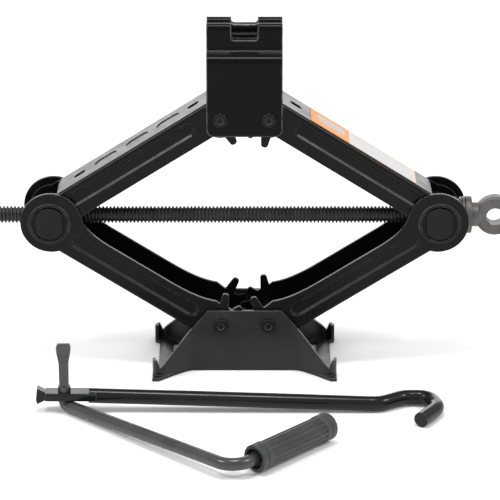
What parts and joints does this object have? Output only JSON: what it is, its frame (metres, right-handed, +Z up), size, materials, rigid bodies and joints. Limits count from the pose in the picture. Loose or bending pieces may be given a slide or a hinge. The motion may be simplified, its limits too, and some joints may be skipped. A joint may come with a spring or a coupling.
{
  "type": "scissor stabilizer jack",
  "caption": "Black scissor jack with pressed channel arms, level drive screw with hook eye, saddle head, splayed base and a loose folding hook crank.",
  "frame": {"origin": "middle of the base's underside, below the screw", "axes": "+Z up, +X along the drive screw towards its eye, +Y to the back"},
  "size_m": [0.4463, 0.2929, 0.291],
  "materials": {
    "black_paint": "semi-gloss black enamel",
    "rivet_black": "semi-gloss black enamel over steel rivet",
    "screw_steel": "blackened oiled thread",
    "zinc_steel": "dull zinc plate",
    "bearing_steel": "ground steel",
    "rod_black": "gloss black enamel",
    "grip_plastic": "moulded black plastic",
    "label_orange": "printed vinyl",
    "label_white": "printed vinyl"
  },
  "bodies": {
    "base": {"base": "black_paint", "base_rivet_left": "rivet_black", "base_rivet_right": "rivet_black"},
    "arm_lower_left": {"arm_lower_left": "black_paint"},
    "arm_lower_right": {"arm_lower_right": "black_paint"},
    "arm_upper_left": {"arm_upper_left": "black_paint"},
    "arm_upper_right": {"arm_upper_right": "black_paint", "label_orange": "label_orange", "label_white": "label_white"},
    "head": {"head": "black_paint", "head_rivet_left": "rivet_black", "head_rivet_right": "rivet_black"},
    "trunnion_left": {"trunnion_left": "rivet_black", "trunnion_caps_left": "rivet_black"},
    "trunnion_right": {"trunnion_right": "rivet_black", "trunnion_caps_right": "rivet_black", "thrust_bearing": "bearing_steel", "thrust_washer": "zinc_steel"},
    "screw": {"screw": "screw_steel", "screw_collar": "zinc_steel", "screw_eye": "zinc_steel"},
    "hook_rod": {"hook_rod": "rod_black"},
    "crank": {"crank_rod": "rod_black"},
    "grip": {"crank_grip": "grip_plastic"}
  },
  "joints": [
    {"name": "lift", "type": "hinge", "parent": "base", "child": "arm_lower_left", "pos_m": [-0.0194, 0, 0.039], "axis": [0, 1, 0], "range_deg": [-24.31, 20]},
    {"name": "lift_right", "type": "hinge", "parent": "base", "child": "arm_lower_right", "pos_m": [0.0194, 0, 0.039], "axis": [0, -1, 0], "range_deg": [-24.31, 20]},
    {"name": "trunnion_left_turn", "type": "hinge", "parent": "arm_lower_left", "child": "trunnion_left", "pos_m": [-0.158, 0, 0.12667], "axis": [0, -1, 0], "range_deg": [-24.31, 20]},
    {"name": "trunnion_right_turn", "type": "hinge", "parent": "arm_lower_right", "child": "trunnion_right", "pos_m": [0.158, 0, 0.12667], "axis": [0, 1, 0], "range_deg": [-24.31, 20]},
    {"name": "elbow_left", "type": "hinge", "parent": "arm_lower_left", "child": "arm_upper_left", "pos_m": [-0.158, 0, 0.12667], "axis": [0, -1, 0], "range_deg": [-48.63, 40]},
    {"name": "elbow_right", "type": "hinge", "parent": "arm_lower_right", "child": "arm_upper_right", "pos_m": [0.158, 0, 0.12667], "axis": [0, 1, 0], "range_deg": [-48.63, 40]},
    {"name": "head_level", "type": "hinge", "parent": "arm_upper_left", "child": "head", "pos_m": [-0.0194, 0, 0.21434], "axis": [0, 1, 0], "range_deg": [-24.31, 20]},
    {"name": "screw_turn", "type": "hinge", "parent": "trunnion_right", "child": "screw", "pos_m": [0.158, 0, 0.12667], "axis": [1, 0, 0], "continuous": true},
    {"name": "crank_lift", "type": "slide", "parent": "base", "child": "hook_rod", "axis": [0, 0, 1], "range_m": [0, 0.1]},
    {"name": "crank_fold", "type": "hinge", "parent": "hook_rod", "child": "crank", "pos_m": [-0.143, -0.11, 0.0139], "axis": [0, 0, 1], "range_deg": [-95, 6]},
    {"name": "grip_turn", "type": "hinge", "parent": "crank", "child": "grip", "pos_m": [0.0645, -0.1661, 0.0116], "axis": [0.6741, 0.7387, 0], "continuous": true}
  ],
  "couplings": [
    {"joint": "lift_right", "follows": "lift", "ratio": 1},
    {"joint": "trunnion_left_turn", "follows": "lift", "ratio": 1},
    {"joint": "trunnion_right_turn", "follows": "lift", "ratio": 1},
    {"joint": "elbow_left", "follows": "lift", "ratio": 2},
    {"joint": "elbow_right", "follows": "lift", "ratio": 2},
    {"joint": "head_level", "follows": "lift", "ratio": 1}
  ]
}
